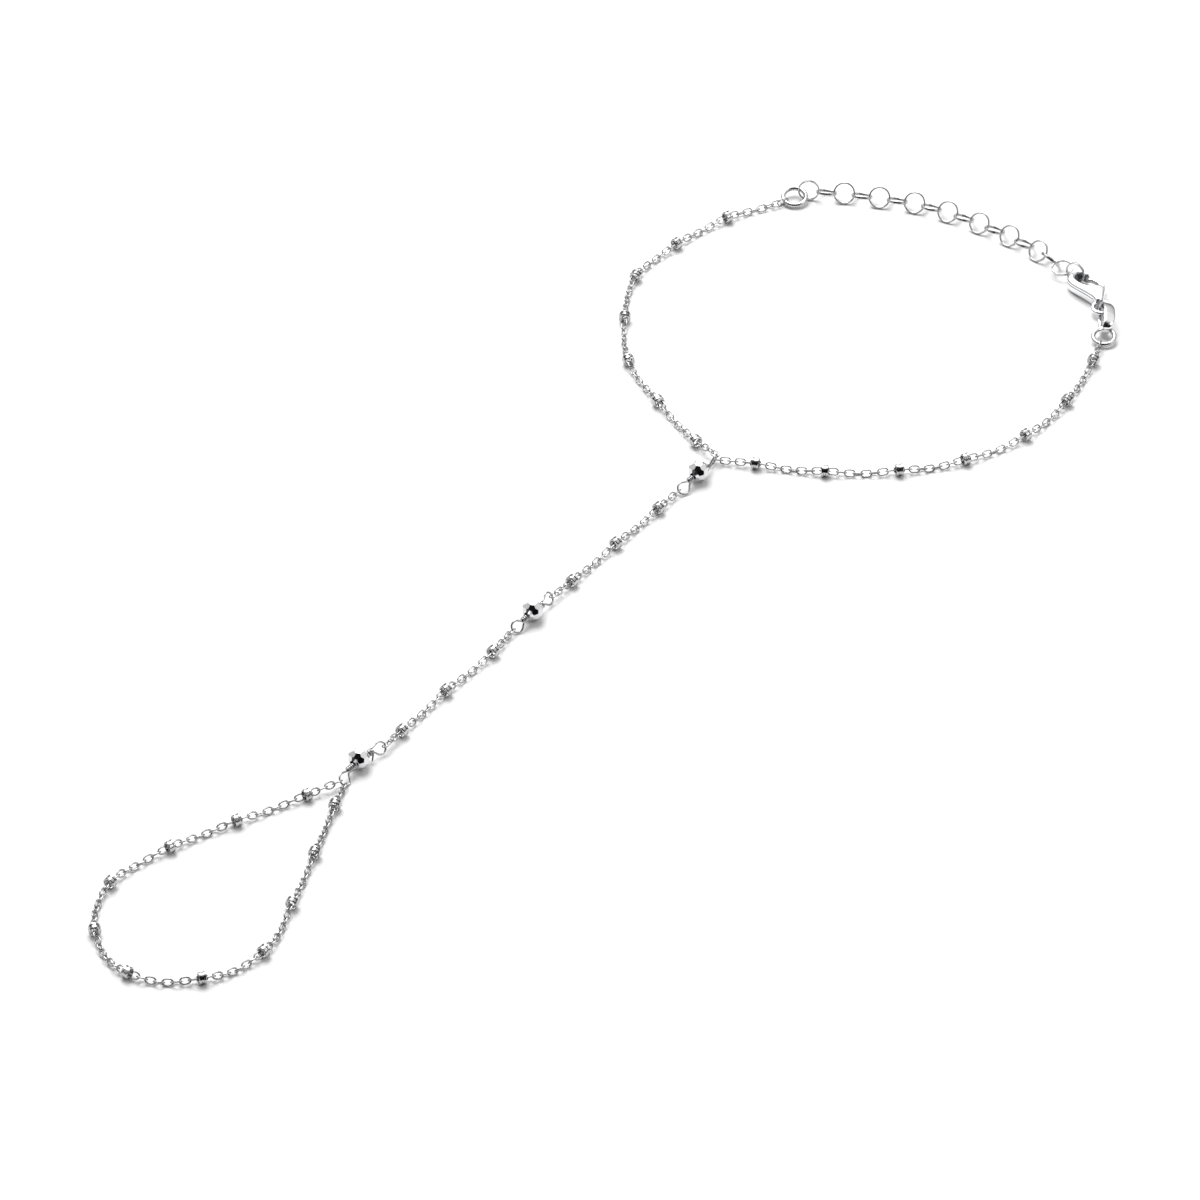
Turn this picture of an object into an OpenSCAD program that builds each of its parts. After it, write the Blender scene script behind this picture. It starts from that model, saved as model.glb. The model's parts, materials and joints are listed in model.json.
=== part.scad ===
// Hand chain bracelet: a wrist chain with a clasp, a chain over the back of the hand and a finger loop.
// It lies open on a level floor, z = 0. +Y runs along the hand chain, from the finger loop to the wrist loop.

/* [Cable chain] */
// Diameter of the wire in a link
link_wire = 0.2; // [0.16:0.01:0.2]
// Width of a link over its wires
link_width = 1.1; // [1.06:0.01:1.12]
// Length of the hole in a link
link_hole = 1.27; // [1.27:0.01:1.3]
// Width of the link that holds a jump ring, over its wires
end_link_width = 1.24; // [1.22:0.01:1.3]
// Length of the hole in the link that holds a jump ring
end_link_hole = 1.5; // [1.45:0.01:1.55]

/* [Satellite beads] */
// Diameter over the two rims
satellite_d = 1.72; // [1.66:0.01:1.8]
// Diameter of the groove between the rims
satellite_groove_d = 1.54; // [1.5:0.01:1.6]
// Length along the chain
satellite_length = 1; // [0.9:0.05:1.1]
// Diameter of the hole
satellite_bore_d = 1.32; // [1.3:0.01:1.36]

/* [Faceted beads] */
// Diameter over opposite facets
bead_d = 2.8; // [2.74:0.01:2.84]
// Diameter of the hole
bead_bore_d = 0.94; // [0.9:0.01:1]
// Number of facets in a row
bead_facets = 10; // [8:2:12]

/* [Bead wires] */
// Diameter of the wire in a loop
loop_wire = 0.3; // [0.28:0.01:0.32]
// Diameter of a loop, measured to the middle of its wire
loop_d = 1.7; // [1.66:0.01:1.74]
// Diameter of the straight wire through a bead
stem_d = 0.25; // [0.22:0.01:0.26]
// Diameter over the wrapped turns
wrap_d = 1.04; // [0.9:0.02:1.1]

/* [Jump rings and extender] */
// Outer diameter of the end ring
end_ring_d = 4; // [3.9:0.05:4.05]
// Diameter of the end ring's wire
end_ring_wire = 0.7; // [0.6:0.05:0.7]
// Outer diameter of the clasp ring
clasp_ring_d = 3.7; // [3.65:0.05:3.75]
// Diameter of the clasp ring's wire
clasp_ring_wire = 0.66; // [0.6:0.02:0.68]
// Outer diameter of an extender ring
extender_ring_d = 3.2; // [3.18:0.01:3.22]
// Thickness of an extender ring's wire, from its inside to its outside
extender_wire = 0.2; // [0.18:0.01:0.2]
// Width of an extender ring's wire, along the ring's axis
extender_wire_width = 0.4; // [0.3:0.02:0.42]

/* [Clasp] */
// Thickness of the clasp's body at its middle
clasp_thickness = 2; // [1.9:0.05:2.1]
// Thickness of the lever
lever_thickness = 0.74; // [0.7:0.02:0.78]
// Radius of the pivot pin
pin_r = 0.28; // [0.25:0.01:0.3]
// Running clearance round the pivot pin
pin_clearance = 0.06; // [0.04:0.01:0.08]
// Radius of the hole in the clasp's eye
eye_r = 0.9; // [0.85:0.01:0.95]
// Length of the broad oval link
broad_link_length = 5.9; // [5.8:0.05:6]
// Width of the broad oval link
broad_link_width = 2.9; // [2.85:0.05:2.95]
// Width of the strip that the broad oval link is bent from
broad_strip_width = 1.1; // [1:0.05:1.15]
// Thickness of that strip
broad_strip = 0.34; // [0.3:0.02:0.36]

/* [Hidden] */

// Middle of the whole outline, seen from above, in the plan that the routes below are drawn in
plan_middle = [-0.82, -31.85];

// Heights of the chain's centre line
satellite_z = satellite_d / 2;
sag_z = 0.48;
bead_z = bead_d / 2;

// Each route is a list of links that are held at a place: [x, y, z, number of links from here to the next place].
// The plan's origin is the first bead wire's upper loop, where the wrist chain and the hand chain meet.
wrist_left_route = [
    [-27.33, 54.42, 0.67, 8], [-31.4, 46.4, satellite_z, 9], [-33.5, 36.9, satellite_z, 9],
    [-33.6, 27.2, satellite_z, 9], [-29.1, 18.5, satellite_z, 9], [-22.7, 10.8, satellite_z, 9],
    [-13.8, 5.8, satellite_z, 9], [-4.2, 1.7, satellite_z, 4], [0.1, 0.35, 1.45, 0]
];
wrist_right_route = [
    [0.64, 0.25, 0.7, 5], [5.4, 2.6, satellite_z, 9], [14.1, 7, satellite_z, 9],
    [22.2, 13.4, satellite_z, 9], [28.2, 20.9, satellite_z, 9], [31.8, 30.4, satellite_z, 9],
    [32, 40.3, satellite_z, 9], [29.8, 50.1, satellite_z, 4], [28.45, 53.82, 0.63, 0]
];
hand_upper_route = [
    [0.35, -8.96, 0.68, 4], [0.5, -13.4, satellite_z, 9], [0.4, -23.1, satellite_z, 9],
    [0.5, -33.2, satellite_z, 4], [0.45, -37.26, 0.98, 0]
];
hand_lower_route = [
    [0.3, -46.6, 0.6, 5], [1, -51.6, satellite_z, 9], [0.9, -61.8, satellite_z, 9],
    [1.3, -71.9, satellite_z, 4], [1.57, -75.6, 1.07, 0]
];
finger_route = [
    [0.5, -86.7, 0.7, 4], [-0.7, -89.7, satellite_z, 9], [-4.9, -99.3, satellite_z, 9],
    [-8.6, -108.6, satellite_z, 9], [-10.4, -118.7, satellite_z, 9], [-6.1, -127.1, satellite_z, 9],
    [2.5, -130.9, satellite_z, 9], [10.9, -126, satellite_z, 9], [14, -117.2, satellite_z, 9],
    [11.1, -107.7, satellite_z, 9], [7.3, -98.2, satellite_z, 9], [3.5, -89.1, satellite_z, 3],
    [2.4, -86.7, 0.7, 0]
];

// Places of the extender's rings, every second one: [x, y, z, number of rings from here to the next place]
extender_route = [
    [-25.2, 57.85, 1.6, 2], [-20.9, 60.7, 1.3, 2], [-16.2, 62.9, 1.3, 2], [-11.4, 64.9, 1.3, 2],
    [-6.3, 66, 1.3, 2], [-1.1, 66.5, 1.3, 2], [4.1, 66.6, 1.3, 2], [9.45, 66.1, 1.3, 2], [14.4, 64.95, 1.2, 0]
];

// Lean of the extender's rings: the first one, the two kinds that follow in turn, and the last two of the route
first_lean = 80;
turn_lean = [50, -26];
end_lean = [-46, 8];
// How far every second ring hangs below the route, and how far the last but one stands above it
second_dip = 0.15;
end_rise = 0.05;
// Place of the ring that the hook holds, and its turn about X and Z
last_ring_place = [16.82, 64.65, 1.6];
last_ring_turn = [81.2, 0, -1.8];

// Bead wires: [upper end of the wrapped stem, lower end of it, bead's distance from the upper end,
// middle of the upper loop, middle of the lower loop, roll of each loop, turns above and below the bead]
bead_units = [
    [[0.78, -1.95, 1.15], [0.6, -6.7, 1.3], 2.2, [0.55, -0.55, 1.2], [0.66, -7.8, 0.8], [-76, -36], [2, 4]],
    [[0.6, -39.8, 1.2], [0.6, -44.6, 1.28], 2.2, [0.47, -38.47, 1.15], [0.45, -45.45, 0.88], [70, -50], [2, 4]],
    [[1.01, -78, 1.28], [0.86, -83.2, 1.28], 2.4, [1.39, -76.8, 1.16], [1.33, -84.27, 0.86], [56, -50], [3, 4]]
];

// How far each bead hangs to one side of its wire, along the plan's X
bead_aside = [-0.12, -0.12, -0.24];

// Places of the clasp and of the rings beside it
clasp_place = [24.06, 60.69, 1.02];
clasp_heading = 165;
end_ring_place = [-26.53, 56.21, 0.83];
clasp_ring_place = [27.92, 55.54, 0.87];
ring_tilt = 12;
view_heading = 37;
broad_link_place = [25.79, 58.38, 1.47];
broad_link_heading = -53.1;

// Clasp's plan, with the eye at the origin, the hook's end along +X and the lever's side at +Y
hook_middle = [6.55, 1.85];
hook_inner_r = 0.85;
hook_outer_r = 1.48;
nose = [6.6, 1.25];
nose_r = 1.6;
nose_taper = 5;
pivot = [3, 2.1];
cheek_r = 0.92;
boss_r = 0.66;
lever_arm_middle = [4.7, 1.5];
lever_arm_r = 1.9;
lever_arm_w = 0.52;
lever_arm_angles = [42, 158];
thumb_tab = [[2.6, 2.4], [3.3, 3.4], [3.8, 3.95], [4.3, 3.95], [4.6, 3.5], [4, 2.7], [3.2, 2.1]];
mouth_x = [3.9, 6.3];
// Outline of the body between its round parts, and of the hook's opening towards the mouth
claw_plate = [
    [6.6, -0.35], [5.4, -0.36], [2, 0], [1, 0.1], [0.7, 1], [1.2, 1.5],
    [2.35, 2.7], [mouth_x[0], pivot.y], [4.9, 1.15], hook_middle
];
claw_opening = [
    [6.3, 0.88], [5.2, 1.05], [4.2, 1.65], [mouth_x[0], 2.3],
    [mouth_x[0], 5], [mouth_x[1], 5], [mouth_x[1], 2]
];
slit_w = 0.22;
eye_wall = 0.5;
eye_thickness = 0.8;
back_r = 3.4;

// Smoothness of round shapes
fine = 32;
finer = 64;

function place(r, i) = [r[i].x, r[i].y, r[i].z];

// Direction of a route at one of its places, for the distance to the next
function slope(r, i) =
    let (last = len(r) - 1)
    i == 0 ? place(r, 1) - place(r, 0)
    : i == last ? place(r, last) - place(r, last - 1)
    : (place(r, i + 1) - place(r, i - 1)) / 2;

// Plan of the smooth curve through the places, t from 0 to 1 between place i and the next
function plan_at(r, i, t) =
    let (a = place(r, i), b = place(r, i + 1),
         span = norm([b.x - a.x, b.y - a.y]),
         da = slope(r, i), db = slope(r, i + 1),
         ua = [da.x, da.y] / norm([da.x, da.y]) * span, ub = [db.x, db.y] / norm([db.x, db.y]) * span)
    (2 * t ^ 3 - 3 * t ^ 2 + 1) * [a.x, a.y] + (t ^ 3 - 2 * t ^ 2 + t) * ua
    + (3 * t ^ 2 - 2 * t ^ 3) * [b.x, b.y] + (t ^ 3 - t ^ 2) * ub;

// Height of the curve: a long stretch sags between the places that carry it, a short one doesn't
function ease(t) = (1 - cos(180 * t)) / 2;
function height_at(r, i, t) =
    let (a = r[i].z, b = r[i + 1].z)
    r[i][3] < 6 ? a + (b - a) * ease(t)
    : t < 0.5 ? a + (sag_z - a) * ease(2 * t)
    : sag_z + (b - sag_z) * ease(2 * t - 1);

function point_at(r, i, t) = let (p = plan_at(r, i, t)) [p.x, p.y, height_at(r, i, t)];

// Centre and direction of every link along a route: [centre, direction]
function links_along(r) =
    [for (i = [0 : len(r) - 2], j = [0 : r[i][3] - 1])
        let (t = j / r[i][3], h = 0.5 / r[i][3],
             before = i == 0 && j == 0 ? point_at(r, 0, 0) : j == 0 ? point_at(r, i - 1, 1 - 0.5 / r[i - 1][3])
                : point_at(r, i, t - h))
        [point_at(r, i, t), point_at(r, i, t + h) - before],
     let (last = len(r) - 2) [point_at(r, last, 1), point_at(r, last, 1) - point_at(r, last, 0.8)]];

// Number of the link at each place of a route, counted from its start
function link_numbers(r, i = 0, sum = 0) =
    i == len(r) ? [] : concat([sum], link_numbers(r, i + 1, sum + r[i][3]));

// Links stand crosswise, and turn by degrees towards what holds the chain at its two ends
end_turn_links = 4;
function fade(k) = max(0, 1 - k / end_turn_links);
function roll_of(i, count, roll, first_turn, last_turn) =
    roll + 90 * i + first_turn * fade(i) + last_turn * fade(count - 1 - i) + 5 * sin(137 * i) * (1 - fade(i));

// Moves what is drawn along +X at the origin to a place and a direction
module aim(at, along, roll = 0) {
    heading = atan2(along.y, along.x);
    climb = atan2(along.z, norm([along.x, along.y]));
    translate(at) rotate([0, -climb, heading]) rotate([roll, 0, 0]) children();
}

// Everything is drawn in the routes' plan and moved to the part's own origin
module in_part() {
    translate([-plan_middle.x, -plan_middle.y, 0]) children();
}

module oval_link(hole, width, wire) {
    bend_r = (width - wire) / 2;
    half_run = (hole + 2 * wire - width) / 2;
    for (side = [0, 180]) rotate([0, 0, side]) {
        translate([half_run, 0, 0]) rotate([0, 0, -90])
            rotate_extrude(angle = 180, $fn = finer) translate([bend_r, 0]) circle(d = wire, $fn = fine);
        translate([-half_run, bend_r, 0]) rotate([0, 90, 0]) cylinder(h = 2 * half_run, d = wire, $fn = fine);
    }
}

module cable_chain(route, roll, first_turn, last_turn, ring_at_start = false, ring_at_end = false) {
    links = links_along(route);
    count = len(links);
    for (i = [0 : count - 1]) {
        holds_ring = (i == 0 && ring_at_start) || (i == count - 1 && ring_at_end);
        aim(links[i][0], links[i][1], roll_of(i, count, roll, first_turn, last_turn))
            oval_link(holds_ring ? end_link_hole : link_hole, holds_ring ? end_link_width : link_width, link_wire);
    }
}

module wrist_chain_left() {
    color("silver") in_part() cable_chain(wrist_left_route, 45, 35, -33, ring_at_start = true);
}

module wrist_chain_right() {
    color("silver") in_part() cable_chain(wrist_right_route, 135, 9, 45, ring_at_end = true);
}

module hand_chain_upper() {
    color("silver") in_part() cable_chain(hand_upper_route, 45, 0, -25);
}

module hand_chain_lower() {
    color("silver") in_part() cable_chain(hand_lower_route, 45, -8, 60);
}

// The finger loop's chain is finer work than its place here needs: one tube as thick as the chain
tube_d = 0.9;
tube_sides = 8;
tube_rings_per_stretch = 4;

function route_points(r, n) =
    concat([for (i = [0 : len(r) - 2], k = [0 : n - 1]) point_at(r, i, k / n)], [place(r, len(r) - 1)]);

function tube_ring(p, before, after) =
    let (d = after - before, heading = atan2(d.y, d.x), left = [-sin(heading), cos(heading), 0],
         ahead = d / norm(d), up = cross(ahead, left))
    [for (k = [0 : tube_sides - 1]) let (a = 360 * (k + 0.5) / tube_sides)
        p + tube_d / 2 * (cos(a) * left + sin(a) * up)];

module tube(p) {
    n = len(p);
    rings = [for (i = [0 : n - 1]) tube_ring(p[i], p[max(0, i - 1)], p[min(n - 1, i + 1)])];
    side = tube_sides;
    polyhedron(
        points = [for (ring = rings, q = ring) q],
        faces = concat(
            [[for (k = [side - 1 : -1 : 0]) k]],
            [for (i = [0 : n - 2], k = [0 : side - 1])
                let (m = (k + 1) % side) [i * side + k, i * side + m, (i + 1) * side + m]],
            [for (i = [0 : n - 2], k = [0 : side - 1])
                let (m = (k + 1) % side) [i * side + k, (i + 1) * side + m, (i + 1) * side + k]],
            [[for (k = [0 : side - 1]) (n - 1) * side + k]]
        ),
        convexity = 10
    );
}

module finger_chain() {
    color("silver") in_part() tube(route_points(finger_route, tube_rings_per_stretch));
}

// A satellite bead: a short hollow bead with a rim at each end and a groove between
module satellite_bead() {
    rim = 0.08;
    half = satellite_length / 2;
    rotate([0, 90, 0]) rotate_extrude($fn = finer) polygon([
        [satellite_bore_d / 2, -half], [satellite_d / 2 - rim, -half], [satellite_d / 2, -half + rim],
        [satellite_d / 2, -2.5 * rim], [satellite_groove_d / 2, -1.5 * rim],
        [satellite_groove_d / 2, 1.5 * rim], [satellite_d / 2, 2.5 * rim],
        [satellite_d / 2, half - rim], [satellite_d / 2 - rim, half], [satellite_bore_d / 2, half]
    ]);
}

module satellite(route, i) {
    link = links_along(route)[link_numbers(route)[i]];
    color("gainsboro") in_part() aim(link[0], link[1]) satellite_bead();
}

// A faceted bead: rows of flat facets, all at one distance from its centre, and a hole along +X
facet_rows = [[0, 0], [34, 0.5], [-34, 0.5], [64, 0], [-64, 0]];
module faceted_ball() {
    block = 2 * bead_d;
    rotate([0, 90, 0]) difference() {
        intersection() {
            cube([block, block, bead_d], center = true);
            for_facets(block);
        }
        cylinder(h = block, d = bead_bore_d, center = true, $fn = fine);
    }
}

module for_facets(block) {
    intersection_for (row = facet_rows)
        intersection_for (k = [0 : bead_facets - 1])
            rotate([0, 0, 360 * (k + row[1]) / bead_facets]) rotate([0, -row[0], 0])
                translate([bead_d / 2 - block, -block / 2, -block / 2]) cube(block);
}

function unit_along(u) = (u[1] - u[0]) / norm(u[1] - u[0]);

module faceted_bead(i) {
    u = bead_units[i];
    stem_middle = u[0] + u[2] * unit_along(u);
    along = unit_along(u);
    color("whitesmoke") in_part()
        aim([stem_middle.x + bead_aside[i], stem_middle.y, bead_z], [along.x, along.y, 0])
            faceted_ball();
}

// Turns of wire side by side round a stem, along one stretch of it
wrap_groove = 0.08;
module wraps(from, to, turns) {
    pitch = (to - from) / turns;
    crest = wrap_d / 2;
    dip = crest - wrap_groove;
    ridge = [[0, dip], [0.25, crest], [0.75, crest]];
    translate([from, 0, 0]) rotate([0, 90, 0]) rotate_extrude($fn = fine) polygon(concat(
        [[0, 0]],
        [for (k = [0 : turns - 1], p = ridge) [p[1], (k + p[0]) * pitch]],
        [[dip, to - from], [0, to - from]]
    ));
}

// A loop of wire on a short neck that grows out of the wrapped stem
module wire_loop(stem_end, middle, roll) {
    reach = norm(middle - stem_end);
    loop_r = loop_d / 2;
    root = 0.12;
    aim(stem_end, middle - stem_end, roll) {
        translate([reach, 0, 0]) rotate([0, 0, 180])
            rotate_extrude($fn = finer) translate([loop_r, 0]) circle(d = loop_wire, $fn = fine);
        translate([-root, 0, 0]) rotate([0, 90, 0]) cylinder(h = reach - loop_r + root, d = stem_d, $fn = fine);
    }
}

// Gap between a bead and its wrapped turns
wrap_gap = 0.08;
// The cut end of the third wire, which stands out from its upper turns
tail_length = 0.9;
tail_wire = 0.22;
tail_root = [0.3, 0.25, 0];
tail_turn = [-100, 0, 25];
module bead_wire(i, tail = false) {
    u = bead_units[i];
    length = norm(u[1] - u[0]);
    upper_to = u[2] - bead_d / 2 - wrap_gap;
    lower_from = u[2] + bead_d / 2 + wrap_gap;
    color("silver") in_part() {
        aim(u[0], unit_along(u)) {
            rotate([0, 90, 0]) cylinder(h = length, d = stem_d, $fn = fine);
            wraps(0, upper_to, u[6][0]);
            wraps(lower_from, length, u[6][1]);
            if (tail)
                translate(tail_root) rotate(tail_turn) cylinder(h = tail_length, d = tail_wire, $fn = fine);
        }
        wire_loop(u[0], u[3], u[5][0]);
        wire_loop(u[1], u[4], u[5][1]);
    }
}

module jump_ring(d, wire) {
    rotate([0, 0, view_heading]) rotate([ring_tilt, 0, 0])
        rotate_extrude($fn = finer) translate([(d - wire) / 2, 0]) circle(d = wire, $fn = fine);
}

module end_ring() {
    color("silver") in_part() translate(end_ring_place) jump_ring(end_ring_d, end_ring_wire);
}

module clasp_ring() {
    color("silver") in_part() translate(clasp_ring_place) jump_ring(clasp_ring_d, clasp_ring_wire);
}

// A ring of flat wire with round edges
module extender_ring() {
    edge = (extender_wire_width - extender_wire) / 2;
    rotate_extrude($fn = finer) translate([(extender_ring_d - extender_wire) / 2, 0]) {
        square([extender_wire, 2 * edge], center = true);
        for (side = [-1, 1]) translate([0, side * edge]) circle(d = extender_wire, $fn = fine);
    }
}

module extender_chain() {
    rings = links_along(extender_route);
    last = len(rings) - 1;
    color("silver") in_part() {
        for (i = [0 : last]) {
            lean = i == 0 ? first_lean : i < last - 1 ? turn_lean[i % 2] : end_lean[i - last + 1];
            lift = i == last - 1 ? end_rise : i % 2 == 0 ? 0 : -second_dip;
            aim(rings[i][0] + [0, 0, lift], rings[i][1], lean) extender_ring();
        }
        translate(last_ring_place) rotate([0, 0, last_ring_turn.z]) rotate([last_ring_turn.x, 0, 0]) extender_ring();
    }
}

module in_clasp() {
    in_part() translate(clasp_place) rotate([180, 0, clasp_heading]) children();
}

// Outline of the clasp's body without its eye
module claw_outline() {
    difference() {
        union() {
            translate(hook_middle) circle(r = hook_outer_r, $fn = finer);
            translate(nose) circle(r = nose_r, $fn = finer);
            translate(pivot) circle(r = cheek_r, $fn = finer);
            polygon(claw_plate);
        }
        translate(hook_middle) circle(r = hook_inner_r, $fn = finer);
        polygon(claw_opening);
    }
}

// What two long rounded backs, above and below, leave of the body, thinner towards the hook's end
module pillow() {
    length = 12;
    lift = back_r - clasp_thickness / 2;
    intersection_for (side = [-1, 1])
        translate([-2, hook_middle.y, side * lift]) rotate([0, 90, 0]) cylinder(r = back_r, h = length, $fn = finer);
}

module taper() {
    length = 12;
    intersection_for (side = [-1, 1])
        translate([pivot.x, 0, side * clasp_thickness / 2]) rotate([0, side * nose_taper, 0])
            translate([-length / 2, -length / 2, side > 0 ? -length : 0]) cube(length);
}

module clasp_body() {
    slot = lever_thickness + 0.1;
    color("white") in_clasp() {
        difference() {
            union() {
                intersection() {
                    linear_extrude(height = clasp_thickness, center = true) claw_outline();
                    pillow();
                    taper();
                }
                cylinder(h = eye_thickness, r = eye_r + eye_wall, center = true, $fn = finer);
            }
            cylinder(h = 2 * clasp_thickness, r = eye_r, center = true, $fn = finer);
            linear_extrude(height = slot, center = true) lever_slot();
            linear_extrude(height = slit_w, center = true) back_slit();
        }
        translate([pivot.x, pivot.y, -0.35 * clasp_thickness])
            cylinder(h = 0.7 * clasp_thickness, r = pin_r, $fn = fine);
    }
}

// Room for the lever's boss between the cheeks, open towards the mouth
module lever_slot() {
    translate(pivot) circle(r = boss_r + 0.12, $fn = finer);
    polygon([[2.4, 1.8], [3.4, 1.6], [4.4, 1.5], [4.6, 5], [1.6, 5], [2.1, 2.8]]);
}

// The slit along the folded back of the body
module back_slit() {
    polygon([[2, -1], [6.5, -1], [7.2, 0.1], [6, 0.15], [4, 0.4], [2, 0.5]]);
}

// The lever: a boss on the pin, a bowed arm that closes the mouth and a tab for the thumb
module clasp_lever() {
    inner = lever_arm_r - lever_arm_w / 2;
    color("white") in_clasp() difference() {
        union() {
            translate(pivot) cylinder(h = lever_thickness, r = boss_r, center = true, $fn = finer);
            translate(lever_arm_middle) rotate([0, 0, lever_arm_angles[0]])
                rotate_extrude(angle = lever_arm_angles[1] - lever_arm_angles[0], $fn = finer)
                    translate([inner, -lever_thickness / 2]) square([lever_arm_w, lever_thickness]);
            linear_extrude(height = lever_thickness, center = true) polygon(thumb_tab);
        }
        translate(pivot) cylinder(h = 2 * lever_thickness, r = pin_r + pin_clearance, center = true, $fn = fine);
    }
}

module broad_oval(length, width) {
    run = length - width;
    square([run, width], center = true);
    for (side = [-1, 1]) translate([side * run / 2, 0]) circle(d = width, $fn = finer);
}

module clasp_link() {
    color("white") in_part() translate(broad_link_place) rotate([90, 0, broad_link_heading])
        linear_extrude(height = broad_strip_width, center = true) difference() {
            broad_oval(broad_link_length, broad_link_width);
            broad_oval(broad_link_length - 2 * broad_strip, broad_link_width - 2 * broad_strip);
        }
}

wrist_chain_left();
wrist_chain_right();
hand_chain_upper();
hand_chain_lower();
finger_chain();
for (i = [1 : 7]) satellite(wrist_left_route, i);
for (i = [1 : 7]) satellite(wrist_right_route, i);
for (i = [1 : 3]) satellite(hand_upper_route, i);
for (i = [1 : 3]) satellite(hand_lower_route, i);
for (i = [1 : 11]) satellite(finger_route, i);
for (i = [1 : 3]) faceted_bead(i - 1);
for (i = [1 : 3]) bead_wire(i - 1, tail = i == 3);
end_ring();
extender_chain();
clasp_body();
clasp_lever();
clasp_link();
clasp_ring();
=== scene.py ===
# %% [markdown]
# # A silver hand chain
# The chain lies open on a white table: a wrist loop with an extender and a clasp, a chain for the back of
# the hand with three faceted beads, and a loop for a finger. Most of its pieces come from the CAD model,
# which is loaded first and stays where it is. This lesson gives them their polish, makes the pieces that
# are too fine for CAD, and lights them as a jeweller photographs silver.

# %% Load the model
import json
import math
import bpy
from mathutils import Matrix, Vector

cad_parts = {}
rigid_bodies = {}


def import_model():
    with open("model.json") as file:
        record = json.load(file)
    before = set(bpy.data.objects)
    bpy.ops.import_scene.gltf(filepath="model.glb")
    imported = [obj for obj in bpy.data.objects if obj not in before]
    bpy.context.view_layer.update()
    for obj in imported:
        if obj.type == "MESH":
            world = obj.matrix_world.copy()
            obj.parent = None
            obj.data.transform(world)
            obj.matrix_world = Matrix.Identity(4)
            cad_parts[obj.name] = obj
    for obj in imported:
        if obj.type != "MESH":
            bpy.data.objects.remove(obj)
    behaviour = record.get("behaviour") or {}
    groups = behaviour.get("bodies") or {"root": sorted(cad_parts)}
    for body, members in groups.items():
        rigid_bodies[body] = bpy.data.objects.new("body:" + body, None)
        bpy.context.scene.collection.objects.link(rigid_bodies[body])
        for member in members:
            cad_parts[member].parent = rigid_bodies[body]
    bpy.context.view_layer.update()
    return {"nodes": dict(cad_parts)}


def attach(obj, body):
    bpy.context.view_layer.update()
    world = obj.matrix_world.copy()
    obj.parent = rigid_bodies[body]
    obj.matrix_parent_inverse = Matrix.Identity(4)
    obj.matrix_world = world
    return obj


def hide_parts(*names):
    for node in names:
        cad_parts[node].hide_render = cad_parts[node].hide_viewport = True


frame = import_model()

MM = 0.001


def in_mm(values):
    return [round(value / MM, 1) for value in values]


# %% [markdown]
# ## Selecting and joining
# Blender's operators act on all that is selected, and a loaded model is selected all over. So every piece
# below starts by clearing the selection. Three small helpers do that, pick one piece, and join several into
# one.

# %% Selection helpers


def deselect_all():
    if bpy.context.object and bpy.context.object.mode != "OBJECT":
        bpy.ops.object.mode_set(mode="OBJECT")
    bpy.ops.object.select_all(action="DESELECT")


def pick(obj):
    deselect_all()
    obj.select_set(True)
    bpy.context.view_layer.objects.active = obj


def join(pieces):
    """Join all the pieces into the first one."""
    deselect_all()
    for piece in pieces:
        piece.select_set(True)
    bpy.context.view_layer.objects.active = pieces[0]
    if len(pieces) > 1:
        bpy.ops.object.join()
    return bpy.context.object


def hand_over(piece, node, body):
    """Let the piece stand in for its CAD node, which is hidden, and ride on its body."""
    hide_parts(node)
    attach(piece, body)
    print(piece.name, "replaces", node, "with", len(piece.data.polygons), "faces")


# %% [markdown]
# ## The camera
# The photograph looks down at the table at about forty degrees, from the finger's side and a little to the
# right. Jewellery is taken with a long lens from a distance, so the far end of the chain is hardly smaller
# than the near end. The camera stands over a metre away and aims at the middle of the picture.

# %% Camera
CAMERA_AZIMUTH = math.radians(36.85)
CAMERA_HEIGHT_ANGLE = math.radians(39.5)
CAMERA_DISTANCE = 1080.7 * MM
CAMERA_LENS = 238.5
LOOK_AT = Vector((6.82, -2.35, 0.85)) * MM

level = math.cos(CAMERA_HEIGHT_ANGLE)
backwards = Vector((
    math.sin(CAMERA_AZIMUTH) * level,
    -math.cos(CAMERA_AZIMUTH) * level,
    math.sin(CAMERA_HEIGHT_ANGLE),
))
camera_data = bpy.data.cameras.new("camera")
camera_data.lens = CAMERA_LENS
camera_data.sensor_width = 36
camera_data.clip_start = 0.05
camera_data.clip_end = 20
camera = bpy.data.objects.new("camera", camera_data)
bpy.context.collection.objects.link(camera)
camera.location = LOOK_AT + backwards * CAMERA_DISTANCE
camera.rotation_mode = "QUATERNION"
camera.rotation_quaternion = (-backwards).to_track_quat("-Z", "Y")
bpy.context.scene.camera = camera
print("camera at, in mm:", in_mm(camera.location))

# %% [markdown]
# ## The table and the light
# Silver has no colour of its own: it shows its surroundings. Jewellers therefore put it in a white tent,
# where every surface comes out bright. The one dark thing that it sees is the opening that the camera looks
# through, and that draws the black patches on the facets and the grey middles of the wires. The tent is
# dimmer towards the ground, so that rounded edges stand out from the white table.
#
# The tent could be modelled as walls round the chain. It is painted on the world instead, which never gets
# between the chain and a camera, from whichever side it is looked at.

# %% Table
TABLE_SIZE = 6.0
TABLE_WHITE = (0.95, 0.95, 0.95, 1)

bpy.ops.mesh.primitive_plane_add(size=TABLE_SIZE, location=(0, 0, 0))
table = bpy.context.object
table.name = "table"

table_material = bpy.data.materials.new("matt white table")
table_material.use_nodes = True
table_shader = table_material.node_tree.nodes["Principled BSDF"]
table_shader.inputs["Base Color"].default_value = TABLE_WHITE
table_shader.inputs["Roughness"].default_value = 0.9
table_shader.inputs["Specular IOR Level"].default_value = 0.05
table.data.materials.append(table_material)
print("table side in m:", TABLE_SIZE)

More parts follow.
